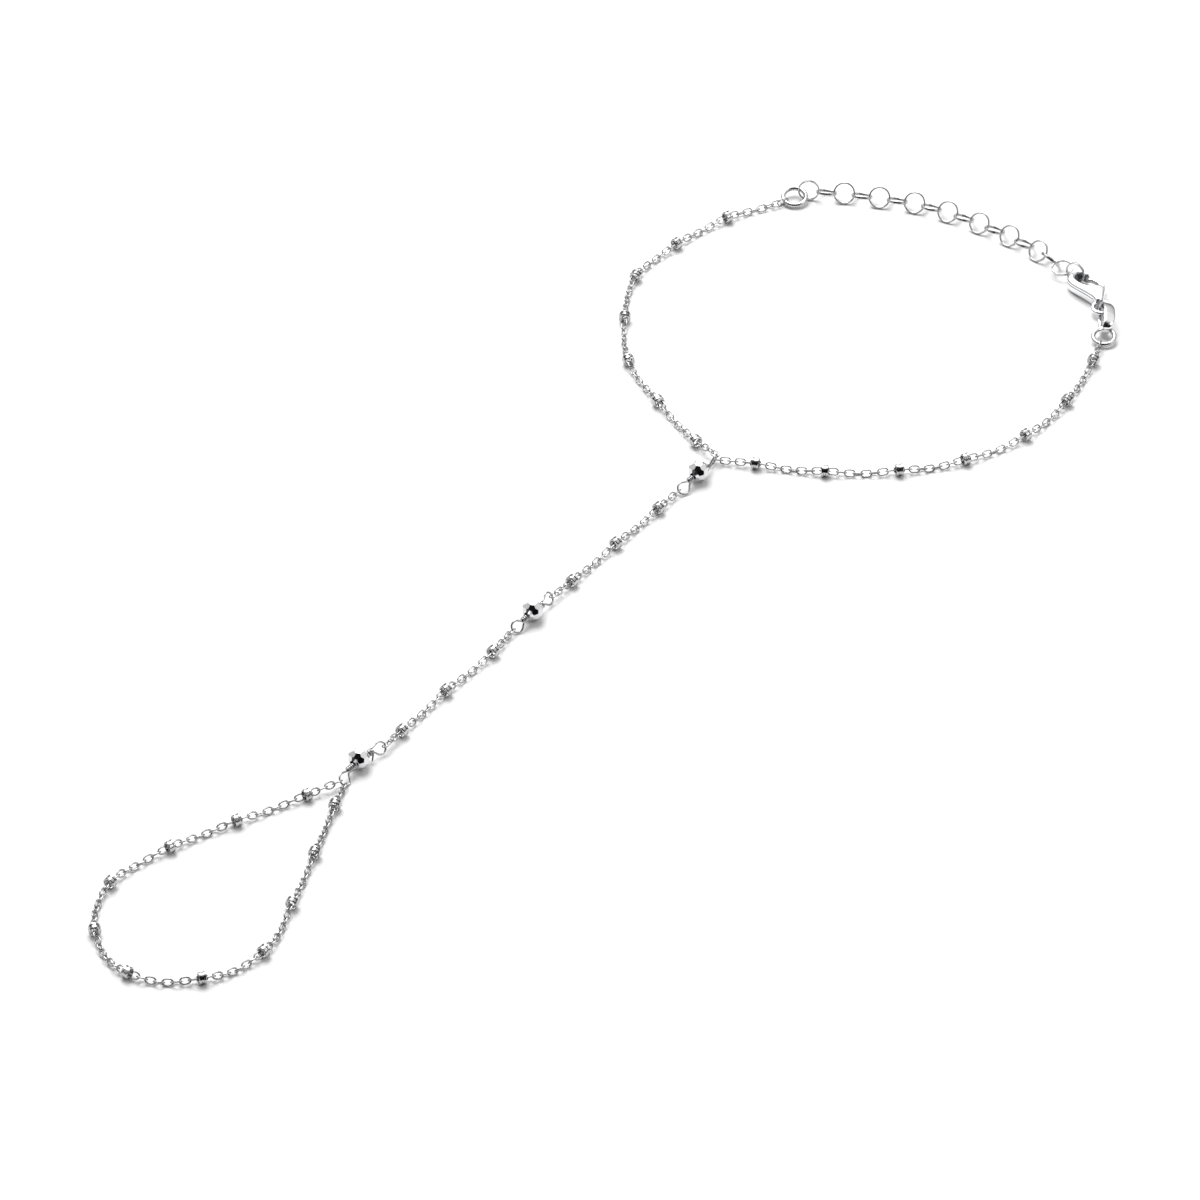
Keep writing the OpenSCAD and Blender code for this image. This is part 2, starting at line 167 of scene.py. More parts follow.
# %% Lamps
LAMPS = (
    # name, place, size in metres, watts
    ("key_softbox", (-0.5, 0.4, 0.9), 0.8, 12.0),
    ("fill_softbox", (0.9, 0.35, 0.7), 0.6, 2.0),
)
for name, place, size, watts in LAMPS:
    lamp_data = bpy.data.lights.new(name, "AREA")
    lamp_data.shape = "SQUARE"
    lamp_data.size = size
    lamp_data.energy = watts
    lamp = bpy.data.objects.new(name, lamp_data)
    bpy.context.collection.objects.link(lamp)
    lamp.location = place
    lamp.rotation_mode = "QUATERNION"
    lamp.rotation_quaternion = (LOOK_AT - Vector(place)).to_track_quat("-Z", "Y")
    print(name, "gives", watts, "watts")

# %% Colour ramps


def ramp(tree, source, stops):
    """A colour ramp that is fed by the source; each stop is a position and a colour."""
    node = tree.nodes.new("ShaderNodeValToRGB")
    elements = node.color_ramp.elements
    elements[0].position, elements[0].color = stops[0]
    elements[1].position, elements[1].color = stops[-1]
    for position, colour in stops[1:-1]:
        elements.new(position).color = colour
    tree.links.new(source, node.inputs["Fac"])
    return node.outputs["Color"]


# %% Tent
TENT_STRENGTH = 1.0
# How bright the tent's cloth is at each height of the direction, from level (0) to straight up (1)
CLOTH = ((0.02, (0.03, 0.03, 0.032, 1)), (0.25, (0.28, 0.28, 0.285, 1)), (0.6, (1, 1, 1, 1)))
# How much of that is left round the opening, by how nearly the direction points at it (1)
OPENING = ((0.5, (1, 1, 1, 1)), (0.8, (0.012, 0.012, 0.012, 1)))

world = bpy.data.worlds.new("light_tent")
bpy.context.scene.world = world
world.use_nodes = True
room = world.node_tree
background = room.nodes["Background"]
background.inputs["Strength"].default_value = TENT_STRENGTH
direction = room.nodes.new("ShaderNodeTexCoord").outputs["Generated"]

split = room.nodes.new("ShaderNodeSeparateXYZ")
room.links.new(direction, split.inputs["Vector"])
cloth = ramp(room, split.outputs["Z"], CLOTH)

towards = room.nodes.new("ShaderNodeVectorMath")
towards.operation = "DOT_PRODUCT"
towards.inputs[1].default_value = backwards
room.links.new(direction, towards.inputs[0])
opening = ramp(room, towards.outputs["Value"], OPENING)

tent = room.nodes.new("ShaderNodeMix")
tent.data_type = "RGBA"
tent.blend_type = "MULTIPLY"
tent.inputs["Factor"].default_value = 1.0
room.links.new(cloth, tent.inputs["A"])
room.links.new(opening, tent.inputs["B"])
room.links.new(tent.outputs["Result"], background.inputs["Color"])
bpy.context.scene.view_settings.view_transform = "Standard"
print("nodes in the tent:", len(room.nodes))

# %% [markdown]
# ## Polished silver
# Real polished silver is never a perfect mirror. Wire that was drawn, bent and tumbled keeps soft waves and
# hair-thin scratches, and air leaves a grey tone on it. A plain shiny metal would look like plastic chrome
# here. One function therefore builds the finish from three noise patterns: soft waves that bend the
# reflections, a fine haze that dulls them in patches, and a slow change of tone. The satellite beads get
# small cuts as well. All the patterns are read from the piece's own coordinates, so they stay on the piece
# when it moves.

# %% Patterns
WAVE_DEPTH = 0.02 * MM
CUT_DEPTH = 0.03 * MM
CUT_STRENGTH = 0.5


def noise(tree, place, size, detail):
    """A noise pattern of this grain size."""
    pattern = tree.nodes.new("ShaderNodeTexNoise")
    pattern.inputs["Scale"].default_value = 1 / size
    pattern.inputs["Detail"].default_value = detail
    tree.links.new(place, pattern.inputs["Vector"])
    return pattern.outputs["Fac"]


def cuts(tree, place, size):
    """A pattern of small flat fields with ridges between them."""
    pattern = tree.nodes.new("ShaderNodeTexVoronoi")
    pattern.feature = "DISTANCE_TO_EDGE"
    pattern.inputs["Scale"].default_value = 1 / size
    tree.links.new(place, pattern.inputs["Vector"])
    return pattern.outputs["Distance"]


def bump(tree, height, strength, depth, below=None):
    """A bump from the height, laid over the bump below it if there is one."""
    relief = tree.nodes.new("ShaderNodeBump")
    relief.inputs["Strength"].default_value = strength
    relief.inputs["Distance"].default_value = depth
    tree.links.new(height, relief.inputs["Height"])
    if below is not None:
        tree.links.new(below, relief.inputs["Normal"])
    return relief.outputs["Normal"]


# %% Silver finish
HAZE_SIZE = 0.35 * MM
HAZE_RANGE = (0.35, 0.75)
GREYING_SIZE = 1.6 * MM
GREYING_RANGE = (0.35, 0.6)
GREYED = 0.9


def silver(name, tone, roughness, wave_mm, wave_bump, dulling=0.08, cuts_mm=None):
    """Polished silver; dulling is how much rougher its hazy patches are."""
    material = bpy.data.materials.new(name)
    material.use_nodes = True
    tree = material.node_tree
    shader = tree.nodes["Principled BSDF"]
    shader.inputs["Metallic"].default_value = 1.0
    place = tree.nodes.new("ShaderNodeTexCoord").outputs["Object"]

    relief = bump(tree, noise(tree, place, wave_mm * MM, 2.0), wave_bump, WAVE_DEPTH)
    if cuts_mm:
        relief = bump(tree, cuts(tree, place, cuts_mm * MM), CUT_STRENGTH, CUT_DEPTH, relief)
    tree.links.new(relief, shader.inputs["Normal"])

    haze = tree.nodes.new("ShaderNodeMapRange")
    haze.inputs["From Min"].default_value = HAZE_RANGE[0]
    haze.inputs["From Max"].default_value = HAZE_RANGE[1]
    haze.inputs["To Min"].default_value = roughness
    haze.inputs["To Max"].default_value = roughness + dulling
    tree.links.new(noise(tree, place, HAZE_SIZE, 4.0), haze.inputs["Value"])
    tree.links.new(haze.outputs["Result"], shader.inputs["Roughness"])

    greyed_tone = (*(channel * GREYED for channel in tone), 1)
    tones = ((GREYING_RANGE[0], greyed_tone), (GREYING_RANGE[1], (*tone, 1)))
    colour = ramp(tree, noise(tree, place, GREYING_SIZE, 3.0), tones)
    tree.links.new(colour, shader.inputs["Base Color"])
    return material


# %% Finishes of the pieces
# The silver's tone for each kind of piece. The clasp's is close to polished silver. The others are darker
# painted shade, standing in for the grey that thin wire and small beads show, and the chain and bead wire
# are darkest
BRIGHT = (0.86, 0.86, 0.87)
FACET_SHADE_TONE = (0.7, 0.7, 0.71)
SATELLITE_SHADE_TONE = (0.52, 0.52, 0.53)
RING_SHADE_TONE = (0.56, 0.56, 0.565)
WIRE_SHADE_TONE = (0.43, 0.43, 0.435)
# Tone of the silver inside the clasp's hollows: painted shade
HOLLOW_SHADE_TONE = (0.42, 0.42, 0.43)

chain_silver = silver("chain silver", WIRE_SHADE_TONE, 0.18, 0.5, 0.15)
satellite_silver = silver("satellite bead silver", SATELLITE_SHADE_TONE, 0.1, 0.7, 0.1, cuts_mm=0.28)
faceted_silver = silver("faceted bead silver", FACET_SHADE_TONE, 0.03, 1.5, 0.04, dulling=0.03)
wire_silver = silver("bead wire silver", WIRE_SHADE_TONE, 0.16, 0.4, 0.2)
ring_silver = silver("jump ring silver", RING_SHADE_TONE, 0.24, 0.8, 0.12)
clasp_silver = silver("clasp silver", BRIGHT, 0.12, 1.2, 0.12)
# Darker, rougher silver for the walls inside the clasp's hollows: its darker tone is painted shade
hollow_shade_silver = silver("hollow shade silver", HOLLOW_SHADE_TONE, 0.22, 0.5, 0.3)

# How a node's name starts, and its finish
FINISHES = (
    ("satellite", satellite_silver),
    ("faceted", faceted_silver),
    ("bead_wire", wire_silver),
    ("end_ring", ring_silver),
    ("extender", ring_silver),
    ("clasp_ring", ring_silver),
    ("clasp", clasp_silver),
    ("", chain_silver),
)


def finish_for(node_name):
    """The finish of the first row whose start fits the name."""
    return next(material for start, material in FINISHES if node_name.startswith(start))


for node_name, node in frame["nodes"].items():
    node.data.materials.clear()
    node.data.materials.append(finish_for(node_name))
print("nodes with a finish:", len(frame["nodes"]))

# %% [markdown]
# ## The bead wires
# Each faceted bead hangs on one piece of wire, bent by hand. The wire runs through the bead, opens into a
# loop at each end and closes it with a few turns round its own neck. The CAD model has plain rings and
# ribbed sleeves in their place. Rings and a screw could be put together here as well, but their joints
# would show. So the wire's real path is laid out point by point, as turns, loop, stem, loop and turns, and
# a curve with a round section is drawn through it.

# %% Directions
PLAN_MIDDLE = Vector((-0.82, -31.85, 0))


def in_part(x, y, z):
    """A place in the photograph's plan, in millimetres, as a place in the part."""
    return (Vector((x, y, z)) - PLAN_MIDDLE) * MM


def across(ahead, roll):
    """The direction across a piece that points ahead and is rolled by an angle about that line."""
    heading = math.atan2(ahead.y, ahead.x)
    level_side = Vector((-math.sin(heading), math.cos(heading), 0))
    upward = ahead.cross(level_side)
    return math.cos(roll) * level_side + math.sin(roll) * upward


print("the plan's origin in the part, in mm:", in_mm(in_part(0, 0, 0)))

# %% A wire bent through points


def bent_wire(name, points, thickness):
    """A round wire that follows the points, as a mesh with closed ends."""
    deselect_all()
    bpy.ops.curve.primitive_nurbs_path_add()
    wire = bpy.context.object
    wire.name = name
    wire.data.splines.clear()
    spline = wire.data.splines.new("NURBS")
    spline.points.add(len(points) - 1)
    for target, point in zip(spline.points, points):
        target.co = (*point, 1)
    spline.order_u = 4
    spline.use_endpoint_u = True
    spline.resolution_u = 3
    wire.data.bevel_depth = thickness / 2
    wire.data.bevel_resolution = 3
    wire.data.use_fill_caps = True
    bpy.ops.object.convert(target="MESH")
    bpy.ops.object.shade_smooth()
    return wire


# %% Points of a loop and of the turns
LOOP_STEP = 20
LOOP_STEPS_EACH_WAY = 7
POINTS_PER_TURN = 12
LEAST_POINTS = 10
TURN_SPACING = 0.3 * MM
TURN_R_START = 0.34 * MM
TURN_R_END = 0.4 * MM


def loop_points(neck, middle, roll, radius, flare, turn_side):
    """Points round a loop, from one side of the neck to the other; a flare widens its outer half."""
    out = (middle - neck).normalized()
    side = across(out, roll)
    points = []
    for step in range(-LOOP_STEPS_EACH_WAY, LOOP_STEPS_EACH_WAY + 1):
        angle = math.radians(LOOP_STEP * step) * turn_side
        width = radius * (1 + flare * math.cos(angle))
        points.append(middle + radius * math.cos(angle) * out + width * math.sin(angle) * side)
    return points


def turns_points(stem_start, ahead, side, start, end):
    """Points of a helix round the stem, from one place on it to another; it starts on the side given."""
    upward = ahead.cross(side)
    count = max(LEAST_POINTS, round(POINTS_PER_TURN * abs(end - start) / TURN_SPACING))
    points = []
    for k in range(count + 1):
        share = k / count
        angle = math.tau * abs(end - start) / TURN_SPACING * share
        radius = TURN_R_START + (TURN_R_END - TURN_R_START) * share
        around = math.cos(angle) * side + math.sin(angle) * upward
        points.append(stem_start + (start + (end - start) * share) * ahead + radius * around)
    return points


# %% The path of a bead wire
FIRST_TURN = 0.1 * MM
BEAD_HALF = 1.4 * MM
BEAD_GAP = 0.12 * MM
STRAIGHT_AFTER = 0.3 * MM
CROSS_ASIDE = 0.1 * MM
CROSS_OUT = 0.12 * MM


def wire_end(neck, middle, roll, ahead):
    """The direction out to the loop, the loop's side, and that side square to the stem."""
    out = (middle - neck).normalized()
    side = across(out, roll)
    return out, side, (side - side.dot(ahead) * ahead).normalized()


def wire_path(upper, lower, bead_at, top_middle, low_middle, rolls, radii, flares):
    """Points along a whole wire: upper turns, upper loop, stem, lower loop, lower turns."""
    ahead = (lower - upper).normalized()
    length = (lower - upper).length
    top_roll, low_roll = (math.radians(roll) for roll in rolls)
    top_out, top_side, top_square = wire_end(upper, top_middle, top_roll, ahead)
    low_out, low_side, low_square = wire_end(lower, low_middle, low_roll, ahead)
    bead_top = bead_at * MM - BEAD_HALF - BEAD_GAP
    bead_low = bead_at * MM + BEAD_HALF + BEAD_GAP
    return (
        turns_points(upper, ahead, top_square, FIRST_TURN, bead_top)[::-1]
        + loop_points(upper, top_middle, top_roll, radii[0] * MM, flares[0], -1)
        + [upper - CROSS_ASIDE * top_side + CROSS_OUT * top_out, upper + STRAIGHT_AFTER * ahead]
        + [upper + length / 2 * ahead]
        + [lower - STRAIGHT_AFTER * ahead, lower - CROSS_ASIDE * low_side + CROSS_OUT * low_out]
        + loop_points(lower, low_middle, low_roll, radii[1] * MM, flares[1], 1)
        + turns_points(upper, ahead, low_square, length - FIRST_TURN, bead_low)
    )


# %% Three bead wires
WIRE = 0.28 * MM
BEAD_WIRES = (
    # ends: the stem's upper and lower end; bead_at: how far the bead's middle is from the upper end;
    # then, for the upper and the lower loop, its middle, roll in degrees, radius and how far its outer
    # half flares
    dict(ends=((0.78, -1.95, 1.15), (0.6, -6.7, 1.3)), bead_at=2.2,
         middles=((0.55, -0.55, 1.2), (0.66, -7.8, 0.8)),
         rolls=(-76, -36), radii=(0.87, 0.87), flares=(0, 0)),
    dict(ends=((0.6, -39.8, 1.2), (0.6, -44.6, 1.28)), bead_at=2.2,
         middles=((0.47, -38.47, 1.15), (0.45, -45.45, 0.88)),
         rolls=(60, -50), radii=(0.88, 0.84), flares=(0.05, 0.05)),
    dict(ends=((1.01, -78, 1.28), (0.86, -83.2, 1.28)), bead_at=2.4,
         middles=((1.39, -76.8, 1.16), (1.33, -84.27, 0.86)),
         rolls=(56, -50), radii=(0.88, 0.93), flares=(0, 0.15)),
)
wrapped_wires = []
for number, row in enumerate(BEAD_WIRES, 1):
    ends = [in_part(*place) for place in row["ends"]]
    middles = [in_part(*place) for place in row["middles"]]
    path = wire_path(*ends, row["bead_at"], *middles, row["rolls"], row["radii"], row["flares"])
    wrapped_wires.append(bent_wire(f"wrapped_wire_{number}", path, WIRE))
    print(f"points in bead wire {number}:", len(path))

# %% [markdown]
# The third wire wasn't cut off short: its end stands out of the turns next to the upper loop and bends down
# to the table. It is a short wire of its own, joined to the rest.

# %% The cut end
TAIL_START = Vector((0.2, -0.1, 0.3)) * MM
TAIL_STEPS = ((0, 0, 0), (0.25, -0.15, -0.1), (0.45, -0.5, -0.6), (0.5, -0.83, -1.1))
TAIL_THINNER = 0.9

third_upper_end = BEAD_WIRES[2]["ends"][0]
tail_root = in_part(*third_upper_end) + TAIL_START
tail = bent_wire("cut_end", [tail_root + Vector(step) * MM for step in TAIL_STEPS], WIRE * TAIL_THINNER)
wrapped_wires[2] = join([wrapped_wires[2], tail])

for number, wrapped_wire in enumerate(wrapped_wires, 1):
    wrapped_wire.data.materials.append(wire_silver)
    hand_over(wrapped_wire, f"bead_wire_{number}", "bracelet")

# %% [markdown]
# ## The finger loop's chain
# The CAD model holds this run of chain as a plain tube, because its hundred small links are the finest work
# on the piece. Here each link is real. A link is a circle of wire pulled into an oval, and every next link
# is turned a quarter round the chain. An array that follows a curve would be quicker, but it would stretch
# and bend the links. So each link is a copy that is only turned and moved. The run follows the tube, with
# one point for each satellite bead and a smooth curve between them that sags to the table. Its two ends
# reach on to the last bead's wire loop, which they hang in.

# %% The route of the finger loop
# Each place is x, y and height in millimetres, with the number of links from it to the next place
BEAD_HEIGHT = 0.86
FINGER_ROUTE = (
    (1.07, -85.54, 1.03, 4), (-0.7, -89.7, BEAD_HEIGHT, 9), (-4.9, -99.3, BEAD_HEIGHT, 9),
    (-8.6, -108.6, BEAD_HEIGHT, 9), (-10.4, -118.7, BEAD_HEIGHT, 9), (-6.1, -127.1, BEAD_HEIGHT, 9),
    (2.5, -130.9, BEAD_HEIGHT, 9), (10.9, -126, BEAD_HEIGHT, 9), (14, -117.2, BEAD_HEIGHT, 9),
    (11.1, -107.7, BEAD_HEIGHT, 9), (7.3, -98.2, BEAD_HEIGHT, 10), (3.5, -89.1, BEAD_HEIGHT, 4),
    (1.92, -85.23, 0.5, 0),
)
print("places on the finger loop's route:", len(FINGER_ROUTE))

# %% A smooth curve through the route
SAG_HEIGHT = 0.48
SHORT_STRETCH = 6


def ease(t):
    """A soft start and a soft end, for a share from 0 to 1."""
    return (1 - math.cos(math.pi * t)) / 2


def slope(route, i):
    """The direction of the route at a place, in plan: from the place before it to the one after."""
    last = len(route) - 1
    a = Vector(route[max(i - 1, 0)][:2])
    b = Vector(route[min(i + 1, last)][:2])
    return (b - a).normalized()


def height_on(route, i, t):
    """Height between two places: a short stretch runs straight over, a long one sags to the table."""
    za, zb = route[i][2], route[i + 1][2]
    if route[i][3] < SHORT_STRETCH:
        return za + (zb - za) * ease(t)
    if t < 0.5:
        return za + (SAG_HEIGHT - za) * ease(2 * t)
    return SAG_HEIGHT + (zb - SAG_HEIGHT) * ease(2 * t - 1)


def point_on(route, i, t):
    """The point at a share of the way from one place to the next, on a curve that meets both slopes."""
    a, b = Vector(route[i][:2]), Vector(route[i + 1][:2])
    span = (b - a).length
    plan = (
        (2 * t**3 - 3 * t**2 + 1) * a + (t**3 - 2 * t**2 + t) * span * slope(route, i)
        + (3 * t**2 - 2 * t**3) * b + (t**3 - t**2) * span * slope(route, i + 1)
    )
    return in_part(plan.x, plan.y, height_on(route, i, t))


# %% Links along the route


def links_along(route):
    """The middle of each link and the direction in which it points."""
    centres = []
    for i in range(len(route) - 1):
        links = route[i][3]
        centres += [point_on(route, i, k / links) for k in range(links)]
    centres.append(point_on(route, len(route) - 2, 1))
    last = len(centres) - 1
    return [(c, centres[min(k + 1, last)] - centres[max(k - 1, 0)]) for k, c in enumerate(centres)]


finger_links = links_along(FINGER_ROUTE)
print("links in the finger loop:", len(finger_links))

# %% One oval link
LINK_WIRE = 0.2 * MM
LINK_WIDTH = 1.1 * MM
LINK_LENGTH = 1.67 * MM


def oval_link(name):
    """A link at the origin that lies flat and points along X."""
    deselect_all()
    bpy.ops.curve.primitive_bezier_circle_add(radius=(LINK_WIDTH - LINK_WIRE) / 2)
    link = bpy.context.object
    link.name = name
    link.data.resolution_u = 5
    link.scale.x = (LINK_LENGTH - LINK_WIRE) / (LINK_WIDTH - LINK_WIRE)
    bpy.ops.object.transform_apply(location=False, rotation=False, scale=True)
    link.data.bevel_depth = LINK_WIRE / 2
    link.data.bevel_resolution = 1
    bpy.ops.object.convert(target="MESH")
    bpy.ops.object.shade_smooth()
    return link


pattern_link = oval_link("pattern_link")
print("faces in one link:", len(pattern_link.data.polygons))

# %% The finger loop
FIRST_ROLL = 45
QUARTER_TURN = 90
UNEVENNESS = 5
UNEVEN_STEP = 137


def aimed(centre, along, roll):
    """The place of a link: its middle, the way it points and its roll about that line."""
    heading = Matrix.Rotation(math.atan2(along.y, along.x), 4, "Z")
    climb = Matrix.Rotation(-math.atan2(along.z, math.hypot(along.x, along.y)), 4, "Y")
    return Matrix.Translation(centre) @ heading @ climb @ Matrix.Rotation(roll, 4, "X")


finger_loop_links = []
for k, (centre, along) in enumerate(finger_links):
    link = pattern_link.copy()
    link.data = pattern_link.data.copy()
    bpy.context.collection.objects.link(link)
    uneven = UNEVENNESS * math.sin(math.radians(UNEVEN_STEP * k))
    link.data.transform(aimed(centre, along, math.radians(FIRST_ROLL + QUARTER_TURN * k + uneven)))
    finger_loop_links.append(link)
bpy.data.objects.remove(pattern_link)
finger_loop = join(finger_loop_links)
finger_loop.name = "finger_loop"
finger_loop.data.materials.append(chain_silver)
hand_over(finger_loop, "finger_chain", "bracelet")

# %% [markdown]
# ## The extender's rings
# The extender is bent from flat wire that has been tumbled, so its inner edges are thick and soft. The CAD
# rings are thin, to stay clear of one another. Swelling them all round would make neighbours cut into one
# another. So a copy of them is made stouter where there is room: inside the ring's middle line the wire
# grows towards the centre, and it grows a little to both sides, while the outer edge stays where it is. A
# copy of a CAD node is loose triangles, so its doubled points are merged first.

# %% The frame of a ring


def ring_frame(points):
    """Middle and axis of a ring: the middle of its points, and the direction square to two far ones."""
    middle = sum(points, Vector()) / len(points)
    first = max(points, key=lambda p: (p - middle).length)
    spread = max(points, key=lambda p: (p - middle).cross(first - middle).length)
    return middle, (first - middle).cross(spread - middle).normalized()


# %% Stouter extender rings
RING_MIDDLE_R = 1.5 * MM
RING_HALF_WIRE = 0.1 * MM
INWARDS = 0.045 * MM
SIDEWAYS = 1.06
MERGE_WITHIN = 0.0005 * MM
RING_SHARP = math.radians(50)

extender = frame["nodes"]["extender_chain"].copy()
extender.data = extender.data.copy()
bpy.context.collection.objects.link(extender)
pick(extender)
bpy.ops.object.mode_set(mode="EDIT")
bpy.ops.mesh.select_all(action="SELECT")
bpy.ops.mesh.remove_doubles(threshold=MERGE_WITHIN)
bpy.ops.mesh.separate(type="LOOSE")
bpy.ops.object.mode_set(mode="OBJECT")
rings = list(bpy.context.selected_objects)
print("rings in the extender:", len(rings))
for ring in rings:
    middle, axis = ring_frame([v.co.copy() for v in ring.data.vertices])
    for vertex in ring.data.vertices:
        offset = vertex.co - middle
        beside = offset.dot(axis) * axis
        outwards = offset - beside
        inside = max(0, (RING_MIDDLE_R - outwards.length) / RING_HALF_WIRE)
        from_middle = outwards.length - INWARDS * inside
        vertex.co = middle + SIDEWAYS * beside + outwards.normalized() * from_middle
bpy.ops.object.join()
extender = bpy.context.object
extender.name = "extender_rings"
bpy.ops.object.shade_smooth_by_angle(angle=RING_SHARP)
hand_over(extender, "extender_chain", "bracelet")

# %% [markdown]
# ## The clasp
# The clasp's body is one smooth, cushion-like casting with a fine slit along its back, and its eye flows
# out of it. The CAD model has the same plan with sharp edges. It could be shaped from a box with many cuts,
# but a hook and a mouth are easier to draw. So the plan is drawn as a smooth outline, given its thickness
# and a round edge, fused with the eye, and thinned a little towards its edges. It is modelled in
# millimetres in its own frame, with the eye at the origin, because the tool that fuses pieces can't work
# with grains as small as this clasp needs. At the end it is scaled and turned into its place.

# %% Plans of the body and the lever
CLASP_FRAME = (
    Matrix.Translation(in_part(24.06, 60.69, 1.02)) @ Matrix.Rotation(math.radians(165), 4, "Z")
    @ Matrix.Rotation(math.pi, 4, "X") @ Matrix.Scale(MM, 4)
)
BODY_PLAN = (
    (0.9, 0.0), (2.2, 0.06), (3.8, -0.06), (5.3, -0.27), (6.5, -0.34), (7.6, 0.02), (8.13, 0.84),
    (8.13, 1.7), (7.82, 2.58), (7.28, 3.12), (6.66, 3.3), (6.32, 3.18), (6.22, 2.95), (6.34, 2.74),
    (6.98, 2.62), (7.37, 2.16), (7.39, 1.55), (7.02, 1.08), (6.4, 0.9), (5.3, 1.02), (4.4, 1.5),
    (3.95, 2.2), (3.5, 2.85), (2.84, 3.0), (2.3, 2.69), (1.7, 2.05), (1.2, 1.5), (0.8, 1.0),
)
LEVER_PLAN = (
    (3.0, 1.46), (2.42, 1.8), (2.4, 2.35), (2.9, 3.05), (3.45, 3.7), (3.9, 3.97), (4.35, 3.92),
    (4.62, 3.66), (5.4, 3.55), (6.02, 3.2), (6.24, 2.96), (6.08, 2.66), (5.86, 2.64), (5.4, 2.98),
    (4.7, 3.14), (4.0, 2.92), (3.62, 2.5), (3.58, 1.9),
)
print("the clasp's eye in the part, in mm:", in_mm(CLASP_FRAME.translation))

# %% A rounded plate


def rounded_plate(name, plan, thickness, edge):
    """A plate with this plan, which the round edge doesn't widen."""
    deselect_all()
    bpy.ops.curve.primitive_bezier_circle_add()
    plate = bpy.context.object
    plate.name = name
    plate.data.splines.clear()
    outline = plate.data.splines.new("BEZIER")
    outline.bezier_points.add(len(plan) - 1)
    for point, (x, y) in zip(outline.bezier_points, plan):
        point.co = (x, y, 0)
        point.handle_left_type = point.handle_right_type = "AUTO"
    outline.use_cyclic_u = True
    outline.resolution_u = 6
    plate.data.dimensions = "2D"
    plate.data.fill_mode = "BOTH"
    plate.data.extrude = thickness / 2 - edge
    plate.data.bevel_depth = edge
    plate.data.bevel_resolution = 4
    plate.data.offset = -edge
    bpy.ops.object.convert(target="MESH")
    return plate


# %% Fusing and cutting
SMOOTHING_ROUNDS = 6


def apply_last_modifier(obj):
    bpy.ops.object.modifier_apply(modifier=obj.modifiers[-1].name)


def fuse(pieces, grain):
    """Melt the pieces into one smooth skin; a finer grain keeps finer shapes."""
    fused = join(pieces)
    bpy.ops.object.modifier_add(type="REMESH")
    fused.modifiers[-1].mode = "VOXEL"
    fused.modifiers[-1].voxel_size = grain
    apply_last_modifier(fused)
    bpy.ops.object.modifier_add(type="SMOOTH")
    fused.modifiers[-1].iterations = SMOOTHING_ROUNDS
    apply_last_modifier(fused)
    return fused


def cut(body, place, size):
    """Cut a box out of the body: the box's middle and its full size."""
    deselect_all()
    bpy.ops.mesh.primitive_cube_add(size=1, location=place)
    cutter = bpy.context.object
    cutter.scale = size
    bpy.ops.object.transform_apply(location=True, rotation=True, scale=True)
    pick(body)
    bpy.ops.object.modifier_add(type="BOOLEAN")
    body.modifiers[-1].operation = "DIFFERENCE"
    body.modifiers[-1].object = cutter
    apply_last_modifier(body)
    bpy.data.objects.remove(cutter)


# %% Finishing a piece of the clasp
CLASP_SHARP = math.radians(40)
WALL_TILT = 0.6


def finish_piece(piece, frame_matrix, node, body_name, hollows=()):
    """Give the piece its finish, painted shade on the walls of its hollows, and its place; a hollow is a
    middle in plan and a radius.
    """
    pick(piece)
    piece.data.materials.clear()
    piece.data.materials.append(clasp_silver)
    piece.data.materials.append(hollow_shade_silver)
    for face in piece.data.polygons:
        for x, y, radius in hollows:
            inward = Vector((x - face.center.x, y - face.center.y, 0))
            is_wall = abs(face.normal.z) < WALL_TILT
            if inward.length < radius and is_wall and face.normal.dot(inward) > 0:
                # The inward-facing walls of each hollow take the darker silver: painted shade
                face.material_index = 1
    piece.data.transform(frame_matrix)
    bpy.ops.object.shade_smooth_by_angle(angle=CLASP_SHARP)
    hand_over(piece, node, body_name)


# %% The clasp's body
CLASP_THICKNESS = 2.0
CLASP_EDGE = 0.42
CLASP_GRAIN = 0.06
EYE_R = 1.26
EYE_WIRE_R = 0.33
EYE_DEEPER = 1.25

plate = rounded_plate("claw", BODY_PLAN, CLASP_THICKNESS, CLASP_EDGE)
deselect_all()
bpy.ops.mesh.primitive_torus_add(
    major_radius=EYE_R, minor_radius=EYE_WIRE_R, major_segments=64, minor_segments=24)
eye = bpy.context.object
eye.scale.z = EYE_DEEPER
bpy.ops.object.transform_apply(location=False, rotation=False, scale=True)
claw = fuse([plate, eye], CLASP_GRAIN)
claw.name = "clasp_shell"
print("faces in the fused body:", len(claw.data.polygons))

# %% Its cushion shape
BODY_MIDDLE_Y = 1.5
BODY_HALF_WIDTH = 1.9
THINNER_AT_SIDES = 0.12
THINNING_STARTS_X = 3
THINNING_LENGTH = 5
THINNER_AT_HOOK = 0.08

for vertex in claw.data.vertices:
    beside = (vertex.co.y - BODY_MIDDLE_Y) / BODY_HALF_WIDTH
    forward = max(0, vertex.co.x - THINNING_STARTS_X) / THINNING_LENGTH
    vertex.co.z *= 1 - THINNER_AT_SIDES * beside**2 - THINNER_AT_HOOK * forward
heights = [vertex.co.z for vertex in claw.data.vertices]
print("the body's thickness in mm:", round(max(heights) - min(heights), 2))

# %% Its slit, the lever's slot and the pin
LEVER_THICKNESS = 0.7
SLIT = ((4.6, -0.35, -0.33), (5.2, 1.3, 0.13))
LEVER_SLOT = ((3.3, 3.3, 0), (2.4, 3.6, LEVER_THICKNESS + 0.1))
PIN_PLACE = (3, 2.1, 0)
MOUTH = (6.3, 2.2, 1.6)
THROAT = (5, 2.6, 1.75)
EYE_HOLE = (0, 0, 1.2)

